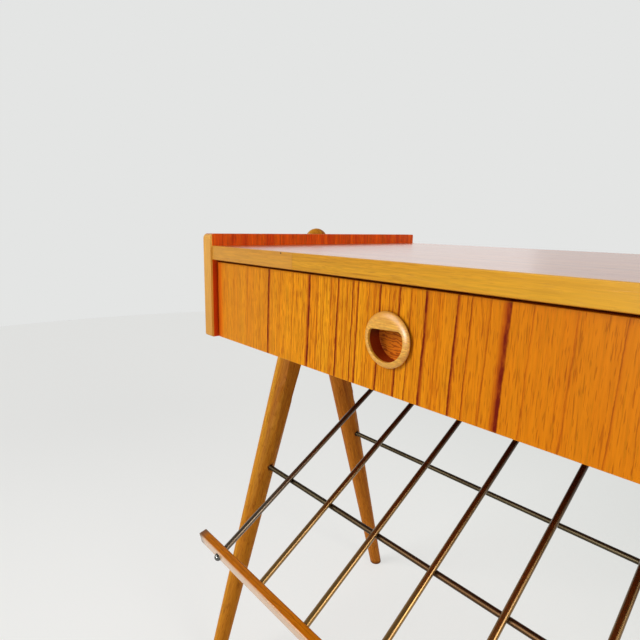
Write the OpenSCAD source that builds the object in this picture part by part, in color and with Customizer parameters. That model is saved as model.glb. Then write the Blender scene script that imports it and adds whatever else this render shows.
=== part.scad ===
// Bedside table: a teak case with one drawer, two pairs of crossed round legs and
// a sloping magazine rack of brass rods.
// Millimetres. X runs across the front, Y from front to back and Z up from the floor.
// The origin is on the floor, under the middle of the whole table.

/* [Case] */
// Width over the outer faces of the two side panels
case_w = 502; // [420:1:600]
// Depth of the side panels
case_d = 340; // [300:1:400]
// Height of a side panel
panel_h = 109; // [100:0.5:140]
// Thickness of a side panel
panel_t = 14; // [13:0.5:20]
// Height of the side panels' top edges above the floor
panel_top_z = 565; // [520:1:620]
// Radius of a side panel's upper front corner
front_corner_r = 5; // [3:0.5:10]
// Radius of a side panel's other corners
corner_r = 2; // [1:0.5:5]
// Thickness of the light lipping on a side panel's front edge
lipping_t = 2.5; // [2:0.5:5]
// How far the top surface lies below the side panels' top edges
top_drop = 12.2; // [6:0.1:20]
// Thickness of the top board
top_t = 14.5; // [13:0.5:20]
// How far the top's front edge lies behind the side panels' front edges
top_setback = 2; // [0:0.5:6]
// How far the top's rear edge lies in front of the side panels' rear edges
top_rear_setback = 2; // [0:0.5:4]
// Thickness of the light lipping on the top's front edge
top_lipping_t = 4; // [2:0.5:8]
// Thickness of the bottom board
bottom_t = 10; // [9:0.5:14]
// Thickness of the plywood back
back_t = 6; // [4:0.5:8]
// How far the back lies in front of the side panels' rear edges
back_inset = 8; // [6:0.5:14]
// Depth of the grooves that hold the back
back_groove = 6; // [4:0.5:7]

/* [Drawer] */
// Thickness of the drawer front
front_t = 18; // [17:0.5:22]
// How far the drawer front lies behind the side panels' front edges
front_setback = 7.5; // [3:0.5:15]
// Gap above the drawer front
front_top_gap = 2.3; // [1:0.1:4]
// Gap between the drawer and each side panel
drawer_side_gap = 1.5; // [1:0.1:3]
// Gap between the closed drawer front and the bottom board's front edge
closing_gap = 0.3; // [0.2:0.1:1]
// Thickness of a drawer side
side_t = 12; // [11:0.5:14]
// Gap between the bottom board and the drawer sides
side_floor_gap = 2.5; // [2:0.5:5]
// Gap between the drawer sides and the top board
side_top_gap = 6.3; // [3:0.1:12]
// Gap between the closed drawer and the plywood back
drawer_rear_gap = 16; // [8:1:40]
// Thickness of the drawer's back
drawer_back_t = 10; // [8:0.5:12]
// How far the drawer's back lies in front of the sides' rear ends
drawer_back_inset = 4; // [2:0.5:10]
// Depth of the housings that hold the drawer's back
housing_depth = 4; // [2:0.5:4.5]
// Thickness of the drawer's plywood bottom
drawer_bottom_t = 4; // [3:0.5:5]
// Depth of the grooves that hold the drawer's bottom
bottom_groove = 5; // [3:0.5:5]
// Width of a dovetail where it leaves the drawer side
tail_w = 9; // [8:0.5:10]
// Spacing aimed at between dovetails
tail_spacing = 15.5; // [15:0.5:20]
// Length of a dovetail
tail_len = 10; // [8:0.5:11]
// Slope of a dovetail's flanks in degrees
tail_slope = 8; // [6:0.5:10]

/* [Drawer pull] */
// Diameter of the pull's rim
pull_d = 41; // [38:0.5:50]
// How far the rim stands in front of the drawer front
pull_proud = 5; // [3:0.5:6]
// Width of the rim around the opening
pull_rim_w = 4.7; // [3.5:0.1:6]
// Thickness of the rim's lip and of the lid over the top of the opening
pull_lid_t = 3; // [2:0.5:4]
// Height of the lid's lower edge above the pull's centre
pull_lip_h = 7.4; // [4:0.1:8]
// Radius in the opening's upper corners
pull_corner_r = 4; // [1:0.5:5]
// Diameter of the finger hollow behind the lip
pull_hollow_d = 34; // [28:0.5:35]
// Depth of the finger hollow's floor behind the drawer front's face
pull_floor_depth = 9.9; // [6:0.1:11]
// Thickness of the finger hollow's floor
pull_floor_t = 2; // [1.5:0.5:3]
// Diameter of the part of the pull let into the drawer front
pull_plug_d = 38; // [36.5:0.5:39]
// How far the pull is turned in its hole, in degrees, its right end up
pull_turn = 3.5; // [-10:0.5:10]
// How far the pull's centre lies above the middle of the drawer front
pull_raise = 1.3; // [-5:0.1:5]
// How far the pull's centre lies to the right of the middle of the drawer front
pull_shift = -0.7; // [-10:0.1:10]

/* [Legs] */
// Radius of a leg at the floor
leg_foot_r = 8.9; // [7:0.1:12]
// Radius of a leg where the two legs' axes cross
leg_top_r = 18.7; // [17:0.1:22]
// Distance between the front and rear feet's centres
foot_span = 319; // [280:1:360]
// How far the legs' axes cross below the side panels' top edges
leg_cross_drop = 24.5; // [15:0.5:35]
// Distance from a side panel's outer face to the point where the legs' axes cross
leg_offset = 10.8; // [9:0.1:15]
// How far the feet stand further out than that point
leg_splay = 7.1; // [2:0.1:20]
// How far the legs' crossing lies in front of the case's mid-depth
leg_shift = 1.5; // [0:0.5:10]
// Radius of the dome on top of a pair of legs
dome_r = 14; // [12:0.5:16]
// How far a dome rises above the side panels' top edges
dome_rise = 6.8; // [3:0.1:12]

/* [Rods and rack] */
// Diameter of the two cross rods
cross_rod_d = 6; // [5:0.5:10]
// Height of the cross rods' axes above the floor
cross_rod_z = 267.8; // [240:0.1:300]
// How far a cross rod runs past a leg's axis
cross_rod_bite = 2; // [0:0.5:5]
// Diameter of a rack rod
rack_rod_d = 6.5; // [5:0.5:8]
// Slope of the rack in degrees
rack_slope = 30; // [27:0.5:33]
// Distance from the front rail's middle to the side panels' front edges
rail_reach = 11.4; // [8:0.1:30]
// Thickness of the front rail
rail_t = 10; // [9:0.5:16]
// Height of the front rail
rail_h = 13; // [12:0.5:20]
// Lean of the front rail in degrees
rail_lean = 12; // [8:0.5:20]
// Gap between each end of the front rail and the case's outer face
rail_end_gap = 3; // [0:0.5:20]
// Radius on the front rail's long edges
rail_edge_r = 2; // [1:0.5:3]
// Radius on the lower corners of the front rail's ends
rail_end_r = 6; // [2:0.5:8]
// Radius on the front rail's ends, seen from above
rail_tip_r = 3; // [1:0.5:4]
// Distance from each end of the front rail to the nearest rod
rod_end_margin = 41.3; // [20:0.1:60]
// Diameter of the threaded end on the two outer rods
stud_d = 5; // [3.5:0.5:5]
// Diameter of a cap nut
nut_d = 8.2; // [7:0.1:9]
// Length of a cap nut's straight skirt
nut_skirt = 1.7; // [1:0.1:3]
// Thickness of the rear batten
batten_t = 12; // [11:0.5:18]
// How far the rear batten lies in front of the side panels' rear edges
batten_setback = 22; // [20:1:40]
// Wood left around the outer rods in the rear batten
batten_margin = 16; // [10:0.5:25]
// Depth of the rod holes in the rear batten
rod_bite = 9; // [6:0.5:9.5]

/* [Runners and fixings] */
// How far a drawer runner stands out from its side panel
runner_w = 7.5; // [6:0.5:8]
// Height of a drawer runner
runner_h = 12; // [10:0.5:14]
// Distance from the drawer front to the drawer sides' runner grooves
runner_stop = 6.5; // [4:0.5:20]
// Gap before each end of a drawer runner
runner_end_gap = 4; // [2:0.5:10]
// Diameter of a dowel
dowel_d = 6; // [5:0.5:6]
// Length of a dowel
dowel_len = 28; // [24:1:32]
// Depth of a dowel in a side panel
dowel_bite = 9; // [6:0.5:10]
// Distance from a side panel's front edge to the first dowel
dowel_front = 42; // [36:1:60]
// Distance from a side panel's rear edge to the last dowel
dowel_rear = 60; // [40:1:80]
// Diameter of the screws that hold the legs and the batten
large_screw_d = 4; // [3.5:0.5:4.5]
// Length of the screws that hold the legs and the batten
large_screw_len = 34; // [28:1:36]
// Diameter of the screws in the runners, the back and the drawer's bottom
small_screw_d = 3; // [2.5:0.5:3]
// Length of the screws in the runners, the back and the drawer's bottom
small_screw_len = 16; // [14:1:18]

/* [Fits] */
// Gap around glued, pressed and screwed joints
joint_gap = 0.05; // [0.02:0.01:0.1]
// Gap around pieces that slide
slide_gap = 0.3; // [0.2:0.1:0.5]

/* [Hidden] */
$fn = 48;

// Sides and ends of the table, as multipliers of X and Y
left = -1;
right = 1;
front = -1;
rear = 1;

// Colours
teak = [0.80, 0.47, 0.16];
light_wood = [0.87, 0.64, 0.34];
drawer_wood = [0.88, 0.76, 0.56];
plywood = [0.80, 0.64, 0.42];
brass = [0.78, 0.58, 0.26];
dark_brass = [0.42, 0.30, 0.14];
steel = [0.62, 0.62, 0.62];

// Overshoot of a cut past the face that it opens
cut = 1;

// Planes of the case, across and upwards
outer_x = case_w / 2;
inner_x = outer_x - panel_t;
panel_low_z = panel_top_z - panel_h;
top_z = panel_top_z - top_drop;
top_low_z = top_z - top_t;
bottom_z = panel_low_z + bottom_t;

// Legs: how they lean outwards and towards each other, their length and their taper
leg_cross_z = panel_top_z - leg_cross_drop;
splay_angle = atan(leg_splay / leg_cross_z);
leg_lean = atan(foot_span / 2 * cos(splay_angle) / leg_cross_z);
leg_len = leg_cross_z / cos(splay_angle) / cos(leg_lean);
leg_taper = (leg_top_r - leg_foot_r) / leg_len;
leg_mid = case_d / 2 - leg_shift;

// Dome: its centre, and the cone that leads up to it from the legs' outer faces
dome_z = panel_top_z + dome_rise - dome_r;
cone_z = leg_cross_z - leg_top_r / 2;
cone_r = leg_spread(cone_z) + leg_r(cone_z) / cos(leg_lean) + joint_gap;
cone_reach = norm([cone_r, dome_z - cone_z]);
cone_tilt = acos(dome_r / cone_reach) - atan2(dome_z - cone_z, cone_r);
cone_top_r = dome_r * cos(cone_tilt);
cone_top_z = dome_z + dome_r * sin(cone_tilt);

// Nuts: their seats in the leaning rail and the centres of their domes, from the rail's middle
nut_r = nut_d / 2;
rod_turn = rack_slope - rail_lean;
nut_seat = rail_t / 2 / cos(rod_turn) - nut_r * tan(rod_turn) - 2 * joint_gap;
nut_centre = nut_seat + nut_skirt;

// Reach of the whole table in front of and behind the side panels' front edges
foot_reach = leg_foot_r / cos(leg_lean) + foot_span / 2;
front_reach = max(rail_reach + nut_centre * cos(rack_slope) + nut_r, foot_reach - leg_mid, 0);
rear_reach = max(case_d, leg_mid + foot_reach);

// Planes of the case from front to back
front_y = (front_reach - rear_reach) / 2;
rear_y = front_y + case_d;
leg_y = front_y + leg_mid;
back_rear_y = rear_y - back_inset;
back_front_y = back_rear_y - back_t;
drawer_front_y = front_y + front_setback;
drawer_joint_y = drawer_front_y + front_t;
drawer_rear_y = back_front_y - drawer_rear_gap;

// Drawer box
drawer_x = inner_x - drawer_side_gap;
side_inner_x = drawer_x - side_t;
side_low_z = bottom_z + side_floor_gap;
side_top_z = top_low_z - side_top_gap;
tail_count = floor((side_top_z - side_low_z) / tail_spacing);
tail_pitch = (side_top_z - side_low_z) / tail_count;
drawer_bottom_z = side_low_z + (tail_pitch - drawer_bottom_t) / 2;
drawer_back_low_z = drawer_bottom_z + drawer_bottom_t;
drawer_back_rear_y = drawer_rear_y - drawer_back_inset;
drawer_back_front_y = drawer_back_rear_y - drawer_back_t;
groove_play = 10 * joint_gap;

// Pull, near the middle of the drawer front
pull_z = (panel_low_z + top_low_z - front_top_gap) / 2 + pull_raise;
pull_bore = pull_floor_depth + pull_floor_t + joint_gap;

// Runners, half-way up the drawer sides
runner_z = (side_low_z + side_top_z) / 2;
runner_front_y = drawer_joint_y + runner_stop + runner_end_gap;
runner_rear_y = back_front_y - runner_end_gap;
runner_groove = runner_w - drawer_side_gap + groove_play;

// Rods and rack
cross_r = cross_rod_d / 2;
rod_r = rack_rod_d / 2;
cross_spread = leg_spread(cross_rod_z);
rail_y = front_y - rail_reach;
rod_clearance = (cross_r + rod_r + joint_gap) / cos(rack_slope);
rail_z = cross_rod_z + rod_clearance - (leg_y - cross_spread - rail_y) * tan(rack_slope);
rail_half = outer_x - rail_end_gap;
rod_pitch = (rail_half - rod_end_margin) / 3;
batten_rear_y = rear_y - batten_setback;
batten_front_y = batten_rear_y - batten_t;
batten_rod_z = rail_z + (batten_front_y - rail_y) * tan(rack_slope);
batten_low_z = batten_rod_z - batten_margin;
batten_half = 3 * rod_pitch + batten_margin;
batten_distance = (batten_front_y - rail_y) / cos(rack_slope);

// Fixings
screw_rows = [bottom_z + 3 * large_screw_d, top_low_z - 5 * large_screw_d];
apex_dowel_rows = [leg_cross_z - 7 * dowel_d, leg_cross_z];

// Distance from the legs' middle plane to a leg's axis at the height z
function leg_spread(z) = foot_span / 2 * (1 - z / leg_cross_z);

// Distance across the table of a right leg's axis at the height z
function leg_x(z) = outer_x + leg_offset + leg_splay * (1 - z / leg_cross_z);

// Radius of a leg where its axis is at the height z
function leg_r(z) = between(leg_foot_r, leg_top_r, z / leg_cross_z);

// Distance across the table of a rack rod, counted from 1 at the left to 7
function rod_x(i) = (i - 4) * rod_pitch;

// Value a share of the way from a to b
function between(a, b, share) = a + (b - a) * share;

// Block between two opposite corners
module block(low, high) {
    translate(low) cube(high - low);
}

// Children drawn on the right side, mirrored for the left
module on_side(side) {
    mirror([side == left ? 1 : 0, 0, 0]) children();
}

// Children drawn at the rear of the legs' middle plane, mirrored for the front
module on_end(end) {
    translate([0, leg_y, 0]) mirror([0, end == front ? 1 : 0, 0]) translate([0, -leg_y, 0]) children();
}

// Rectangle with four corner radii: low front, top front, top rear and low rear
module rounded_rectangle(w, h, radii) {
    corners = [[0, 0], [0, h], [w, h], [w, 0]];
    difference() {
        square([w, h]);
        for (i = [0:3]) {
            r = radii[i];
            inward = [corners[i][0] == 0 ? 1 : -1, corners[i][1] == 0 ? 1 : -1];
            translate(corners[i]) scale([inward[0], inward[1]]) difference() {
                translate([-cut, -cut]) square(r + cut);
                translate([r, r]) circle(r);
            }
        }
    }
}

// Countersunk slotted screw, its head's top at the origin, pointing down
module screw(d, len) {
    head_h = d / 2;
    tip_h = 1.2 * d;
    slot_w = d / 5;
    difference() {
        union() {
            translate([0, 0, -head_h]) cylinder(h = head_h, r1 = d / 2, r2 = d);
            translate([0, 0, tip_h - len]) cylinder(h = len - tip_h - head_h, r = d / 2);
            translate([0, 0, -len]) cylinder(h = tip_h, r1 = d / 8, r2 = d / 2);
        }
        translate([-d, -slot_w / 2, -slot_w]) cube([2 * d, slot_w, d]);
    }
}

// Room for such a screw
module screw_hole(d, len) {
    head_h = d / 2;
    translate([0, 0, -len - joint_gap]) cylinder(h = len + joint_gap + cut, r = d / 2 + joint_gap);
    translate([0, 0, -head_h]) cylinder(h = head_h, r1 = d / 2 + joint_gap, r2 = d + joint_gap);
    cylinder(h = cut, r = d + joint_gap);
}

// Dowel along the Z axis, with grow added all round
module dowel(len, grow) {
    translate([0, 0, -grow]) cylinder(h = len + 2 * grow, d = dowel_d + 2 * grow);
}

// Places of the pieces that come in numbers

module at_panel_dowels() {
    for (z = [top_z - top_t / 2, panel_low_z + bottom_t / 2], share = [0, 0.5, 1])
        translate([inner_x + dowel_bite, between(front_y + dowel_front, rear_y - dowel_rear, share), z])
            rotate([0, -90, 0]) children();
}

module at_leg_screws() {
    for (end = [front, rear], z = screw_rows)
        translate([inner_x, leg_y + end * leg_spread(z), z]) rotate([0, -90, 0]) children();
}

module at_apex_dowels() {
    for (z = apex_dowel_rows)
        translate([leg_x(z), leg_y + dowel_len / 2, z]) rotate([90, 0, 0]) children();
}

module at_runner_screws() {
    for (share = [0.1, 0.5, 0.9])
        translate([inner_x - runner_w, between(runner_front_y, runner_rear_y, share), runner_z])
            rotate([0, -90, 0]) children();
}

module at_back_screws() {
    for (share = [-0.9, -0.45, 0, 0.45, 0.9])
        translate([inner_x * share, back_rear_y, panel_low_z + bottom_t / 2])
            rotate([-90, 0, 0]) children();
}

module at_batten_screws() {
    for (step = [-2.5, -0.5, 0.5, 2.5])
        translate([step * rod_pitch, (batten_front_y + batten_rear_y) / 2, bottom_z]) children();
}

module at_drawer_bottom_screws() {
    for (share = [-0.8, 0, 0.8])
        translate([side_inner_x * share, (drawer_back_front_y + drawer_back_rear_y) / 2, drawer_bottom_z])
            rotate([180, 0, 0]) children();
}

module at_rods(rods) {
    for (i = rods)
        translate([rod_x(i), rail_y, rail_z]) rotate([rack_slope - 90, 0, 0]) children();
}

// Side panels, their lippings, top, bottom and back

module panel_blank() {
    translate([inner_x, front_y, panel_low_z]) rotate([90, 0, 90]) linear_extrude(panel_t)
        rounded_rectangle(case_d, panel_h, [corner_r, front_corner_r, corner_r, corner_r]);
}

module lipping_zone() {
    block([inner_x - cut, front_y - cut, panel_low_z - cut],
          [outer_x + cut, front_y + lipping_t, panel_top_z + cut]);
}

module back_zone(gap) {
    reach = inner_x + back_groove + gap - joint_gap;
    block([-reach, back_front_y - gap, panel_low_z - (gap > 0 ? cut : 0)],
          [reach, back_rear_y + gap, top_low_z + back_groove + gap - joint_gap]);
}

module side_panel(side) {
    color(teak) on_side(side) difference() {
        panel_blank();
        lipping_zone();
        back_zone(joint_gap);
        at_panel_dowels() dowel(dowel_len, joint_gap);
        at_leg_screws() screw_hole(large_screw_d, large_screw_len);
        at_runner_screws() screw_hole(small_screw_d, small_screw_len);
    }
}

module panel_lipping(side) {
    color(light_wood) on_side(side) intersection() {
        panel_blank();
        lipping_zone();
    }
}

module top_board() {
    color(teak) difference() {
        block([-inner_x, front_y + top_setback + top_lipping_t, top_low_z],
              [inner_x, rear_y - top_rear_setback, top_z]);
        back_zone(joint_gap);
        for (side = [left, right]) on_side(side) at_panel_dowels() dowel(dowel_len, joint_gap);
    }
}

module top_lipping() {
    color(light_wood) block([-inner_x, front_y + top_setback, top_low_z],
                            [inner_x, front_y + top_setback + top_lipping_t, top_z]);
}

module bottom_board() {
    color(teak) difference() {
        block([-inner_x, drawer_joint_y + closing_gap, panel_low_z], [inner_x, back_front_y, bottom_z]);
        for (side = [left, right]) on_side(side) at_panel_dowels() dowel(dowel_len, joint_gap);
        at_batten_screws() screw_hole(large_screw_d, large_screw_len);
        at_back_screws() screw_hole(small_screw_d, small_screw_len);
    }
}

module back_panel() {
    color(plywood) difference() {
        back_zone(0);
        at_back_screws() screw_hole(small_screw_d, small_screw_len);
    }
}

module carcass_dowels() {
    color(light_wood) for (side = [left, right]) on_side(side) at_panel_dowels() dowel(dowel_len, 0);
}

module back_panel_screws() {
    color(steel) at_back_screws() screw(small_screw_d, small_screw_len);
}

// Legs: tapered, mitred where they meet and rounded over into one dome

module leg_blank() {
    under = leg_foot_r;
    over = 2 * leg_top_r;
    translate([leg_x(0), leg_y + foot_span / 2, 0])
        rotate([0, -splay_angle, 0]) rotate([leg_lean, 0, 0]) translate([0, 0, -under])
            cylinder(h = under + leg_len + over, r1 = leg_foot_r - leg_taper * under,
                     r2 = leg_top_r + leg_taper * over);
}

module dome_envelope() {
    translate([leg_x(dome_z), leg_y, 0]) rotate([0, 0, 45]) {
        cylinder(h = cone_z, r = foot_span);
        translate([0, 0, cone_z]) cylinder(h = cone_top_z - cone_z, r1 = cone_r, r2 = cone_top_r);
        translate([0, 0, dome_z]) sphere(dome_r);
    }
}

module leg_room() {
    block([outer_x, leg_y, 0],
          [leg_x(0) + 2 * leg_top_r, leg_y + foot_span, panel_top_z + dome_r]);
}

module cross_rod_hole() {
    translate([0, leg_y + leg_spread(cross_rod_z), cross_rod_z]) rotate([0, 90, 0])
        cylinder(h = leg_x(cross_rod_z) + cross_rod_bite + joint_gap, r = cross_r + joint_gap);
}

module leg(side, end) {
    color(teak) on_side(side) on_end(end) difference() {
        intersection() {
            leg_blank();
            dome_envelope();
            leg_room();
        }
        at_leg_screws() screw_hole(large_screw_d, large_screw_len);
        at_apex_dowels() dowel(dowel_len, joint_gap);
        cross_rod_hole();
    }
}

module leg_apex_dowels() {
    color(light_wood) for (side = [left, right]) on_side(side) at_apex_dowels() dowel(dowel_len, 0);
}

module leg_screws() {
    color(steel) for (side = [left, right]) on_side(side)
        at_leg_screws() screw(large_screw_d, large_screw_len);
}

// Cross rods between the legs

module cross_rod(end) {
    half = leg_x(cross_rod_z) + cross_rod_bite;
    color(dark_brass) translate([-half, leg_y + end * cross_spread, cross_rod_z]) rotate([0, 90, 0])
        cylinder(h = 2 * half, r = cross_r);
}

// Rack: seven rods from the front rail, over the front cross rod, to the batten under the case

module rack_rod(i) {
    color(brass) at_rods([i]) {
        cylinder(h = batten_distance + rod_bite, r = rod_r);
        if (abs(i - 4) == 3) translate([0, 0, -nut_centre - stud_d / 4])
            cylinder(h = nut_centre + stud_d / 4 + cut, d = stud_d);
    }
}

module rack_front_rail() {
    color(teak) difference() {
        translate([0, rail_y, rail_z]) rotate([rail_lean, 0, 0]) intersection() {
            translate([-rail_half, -rail_t / 2, -rail_h / 2]) rotate([90, 0, 90])
                linear_extrude(2 * rail_half)
                    rounded_rectangle(rail_t, rail_h, [for (i = [0:3]) rail_edge_r]);
            translate([-rail_half, rail_t / 2, -rail_h / 2]) rotate([90, 0, 0])
                linear_extrude(rail_t)
                    rounded_rectangle(2 * rail_half, rail_h,
                                      [rail_end_r, rail_edge_r, rail_edge_r, rail_end_r]);
            translate([-rail_half, -rail_t / 2, -rail_h / 2]) linear_extrude(rail_h)
                rounded_rectangle(2 * rail_half, rail_t, [for (i = [0:3]) rail_tip_r]);
        }
        at_rods([1:7]) translate([0, 0, -joint_gap]) cylinder(h = rail_h, r = rod_r + joint_gap);
        at_rods([1, 7]) {
            translate([0, 0, -rail_h]) cylinder(h = 2 * rail_h, d = stud_d + 2 * joint_gap);
            translate([0, 0, -rail_h]) cylinder(h = rail_h - nut_seat, r = nut_r + 2 * joint_gap);
        }
    }
}

module rack_cap_nuts() {
    color(steel) at_rods([1, 7]) difference() {
        union() {
            translate([0, 0, -nut_centre]) cylinder(h = nut_skirt, r = nut_r);
            translate([0, 0, -nut_centre]) sphere(nut_r);
        }
        translate([-nut_d, -nut_d, -nut_seat]) cube(2 * nut_d);
        translate([0, 0, -nut_centre - stud_d / 4 - joint_gap])
            cylinder(h = nut_centre, d = stud_d + 2 * joint_gap);
    }
}

module rack_rear_batten() {
    color(teak) difference() {
        block([-batten_half, batten_front_y, batten_low_z], [batten_half, batten_rear_y, panel_low_z]);
        at_rods([1:7]) translate([0, 0, batten_distance - 2 * rod_r])
            cylinder(h = 2 * rod_r + rod_bite + joint_gap, r = rod_r + joint_gap);
        at_batten_screws() screw_hole(large_screw_d, large_screw_len);
    }
}

module batten_screws() {
    color(steel) at_batten_screws() screw(large_screw_d, large_screw_len);
}

// Runners, screwed to the side panels, in grooves in the drawer sides

module drawer_runner(side) {
    color(light_wood) on_side(side) difference() {
        block([inner_x - runner_w, runner_front_y, runner_z - runner_h / 2],
              [inner_x, runner_rear_y, runner_z + runner_h / 2]);
        at_runner_screws() screw_hole(small_screw_d, small_screw_len);
    }
}

module runner_screws() {
    color(steel) for (side = [left, right]) on_side(side)
        at_runner_screws() screw(small_screw_d, small_screw_len);
}

// Drawer: dovetailed front, grooved sides, housed back and plywood bottom

module tails(gap) {
    base = tail_w / 2 + gap;
    end = tail_w / 2 + tail_len * tan(tail_slope) + gap;
    for (i = [0:tail_count - 1])
        translate([side_inner_x - gap, drawer_joint_y, side_low_z + (i + 0.5) * tail_pitch])
            rotate([90, 0, 90]) linear_extrude(side_t + (gap > 0 ? cut : 0))
                polygon([[gap > 0 ? cut : 0, -base], [gap > 0 ? cut : 0, base],
                         [-tail_len - gap, end], [-tail_len - gap, -end]]);
}

module drawer_bottom_zone(gap) {
    reach = side_inner_x + bottom_groove + gap - groove_play;
    block([-reach, drawer_joint_y - bottom_groove - gap + groove_play, drawer_bottom_z - gap],
          [reach, drawer_back_rear_y, drawer_bottom_z + drawer_bottom_t + gap]);
}

module drawer_front() {
    color(teak) difference() {
        block([-drawer_x, drawer_front_y, panel_low_z], [drawer_x, drawer_joint_y, top_low_z - front_top_gap]);
        for (side = [left, right]) on_side(side) tails(joint_gap);
        drawer_bottom_zone(joint_gap);
        translate([pull_shift, drawer_front_y + pull_bore, pull_z]) rotate([90, 0, 0])
            cylinder(h = pull_bore + cut, r = pull_plug_d / 2 + joint_gap);
    }
}

module drawer_side(side) {
    color(drawer_wood) on_side(side) difference() {
        union() {
            block([side_inner_x, drawer_joint_y, side_low_z], [drawer_x, drawer_rear_y, side_top_z]);
            tails(0);
        }
        block([side_inner_x - cut, front_y, drawer_bottom_z - joint_gap],
              [side_inner_x + bottom_groove, rear_y, drawer_bottom_z + drawer_bottom_t + joint_gap]);
        block([side_inner_x - cut, drawer_back_front_y - joint_gap, drawer_bottom_z],
              [side_inner_x + housing_depth, drawer_back_rear_y + joint_gap, side_top_z + cut]);
        block([drawer_x - runner_groove, drawer_joint_y + runner_stop, runner_z - runner_h / 2 - slide_gap],
              [drawer_x + cut, rear_y, runner_z + runner_h / 2 + slide_gap]);
    }
}

module drawer_back() {
    reach = side_inner_x + housing_depth - joint_gap;
    color(drawer_wood) difference() {
        block([-reach, drawer_back_front_y, drawer_back_low_z + joint_gap],
              [reach, drawer_back_rear_y, side_top_z]);
        at_drawer_bottom_screws() screw_hole(small_screw_d, small_screw_len);
    }
}

module drawer_bottom() {
    color(plywood) difference() {
        drawer_bottom_zone(0);
        at_drawer_bottom_screws() screw_hole(small_screw_d, small_screw_len);
    }
}

module drawer_bottom_screws() {
    color(steel) at_drawer_bottom_screws() screw(small_screw_d, small_screw_len);
}

// Pull: a turned bowl with a round rim, let into the drawer front, with a lid over its top

module pull_opening() {
    r = pull_d / 2 - pull_rim_w;
    c = pull_corner_r;
    x = sqrt(pow(r - c, 2) - pow(pull_lip_h - c, 2));
    intersection() {
        circle(r);
        translate([-r, -r]) square([2 * r, r + pull_lip_h - c]);
    }
    translate([-x, 0]) square([2 * x, pull_lip_h]);
    for (side = [left, right]) translate([side * x, pull_lip_h - c]) circle(c);
}

module drawer_pull() {
    rim_r = pull_proud / 2;
    color(light_wood) translate([pull_shift, drawer_front_y, pull_z]) rotate([90, 0, 0]) difference() {
        union() {
            rotate_extrude() translate([pull_d / 2 - rim_r, rim_r]) circle(rim_r);
            cylinder(h = pull_proud, r = pull_d / 2 - rim_r);
            translate([0, 0, -pull_floor_depth - pull_floor_t])
                cylinder(h = pull_floor_depth + pull_floor_t, d = pull_plug_d);
        }
        translate([0, 0, -pull_floor_depth])
            cylinder(h = pull_floor_depth + pull_proud - pull_lid_t, d = pull_hollow_d);
        translate([0, 0, -cut]) linear_extrude(pull_proud + 2 * cut) rotate(pull_turn) pull_opening();
    }
}

side_panel(left);  // left_side_panel
side_panel(right);  // right_side_panel
panel_lipping(left);  // left_panel_lipping
panel_lipping(right);  // right_panel_lipping
top_board();
top_lipping();
bottom_board();
back_panel();
carcass_dowels();
back_panel_screws();
leg(left, front);  // left_front_leg
leg(left, rear);  // left_rear_leg
leg(right, front);  // right_front_leg
leg(right, rear);  // right_rear_leg
leg_apex_dowels();
leg_screws();
cross_rod(front);  // front_cross_rod
cross_rod(rear);  // rear_cross_rod
rack_rod(1);  // rack_rod_1
rack_rod(2);  // rack_rod_2
rack_rod(3);  // rack_rod_3
rack_rod(4);  // rack_rod_4
rack_rod(5);  // rack_rod_5
rack_rod(6);  // rack_rod_6
rack_rod(7);  // rack_rod_7
rack_front_rail();
rack_cap_nuts();
rack_rear_batten();
batten_screws();
drawer_runner(left);  // left_drawer_runner
drawer_runner(right);  // right_drawer_runner
runner_screws();
drawer_front();
drawer_side(left);  // drawer_left_side
drawer_side(right);  // drawer_right_side
drawer_back();
drawer_bottom();
drawer_bottom_screws();
drawer_pull();
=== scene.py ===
import math
import bmesh
import bpy
from mathutils import Matrix, Vector


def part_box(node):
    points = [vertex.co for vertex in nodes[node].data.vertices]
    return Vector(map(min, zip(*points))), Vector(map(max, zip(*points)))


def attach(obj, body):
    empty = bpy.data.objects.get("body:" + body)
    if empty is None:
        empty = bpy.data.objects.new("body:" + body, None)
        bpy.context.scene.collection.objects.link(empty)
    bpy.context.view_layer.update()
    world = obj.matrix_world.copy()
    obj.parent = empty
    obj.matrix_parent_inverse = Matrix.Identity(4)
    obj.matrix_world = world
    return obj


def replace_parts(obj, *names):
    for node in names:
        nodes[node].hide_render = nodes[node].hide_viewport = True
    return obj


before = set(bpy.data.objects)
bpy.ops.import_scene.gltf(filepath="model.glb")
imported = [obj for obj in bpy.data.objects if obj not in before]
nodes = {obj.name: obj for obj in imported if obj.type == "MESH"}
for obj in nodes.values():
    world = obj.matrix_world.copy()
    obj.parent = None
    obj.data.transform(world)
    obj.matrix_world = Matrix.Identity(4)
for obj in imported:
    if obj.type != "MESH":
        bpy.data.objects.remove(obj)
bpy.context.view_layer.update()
scene = bpy.context.scene


# The camera
# It stands a little above the height of the top, a quarter of a metre in front of the case's
# right end, and looks to the left.

eye = Vector((0.2107, -0.40981, 0.5754))
yaw, pitch, roll = (math.radians(a) for a in (47.831, 11.157, 1.178))
ahead = Vector((-math.sin(yaw), math.cos(yaw), 0))
across = Vector((math.cos(yaw), math.sin(yaw), 0))
aim = ahead * math.cos(pitch) - Vector((0, 0, math.sin(pitch)))
over = ahead * math.sin(pitch) + Vector((0, 0, math.cos(pitch)))
side = across * math.cos(roll) + over * math.sin(roll)
over = over * math.cos(roll) - across * math.sin(roll)
lens = bpy.data.cameras.new("camera")
lens.sensor_width = 36
lens.lens = 26.905
lens.clip_start, lens.clip_end = 0.01, 60
camera = bpy.data.objects.new("camera", lens)
scene.collection.objects.link(camera)
camera.matrix_world = Matrix.Translation(eye) @ Matrix((side, over, -aim)).transposed().to_4x4()
scene.camera = camera


# Side panels
# Two upright boards veneered with teak, the grain running up and down, with rounded corners.
# The legs are screwed to their outer faces, and the top and bottom are dowelled between them.

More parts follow.
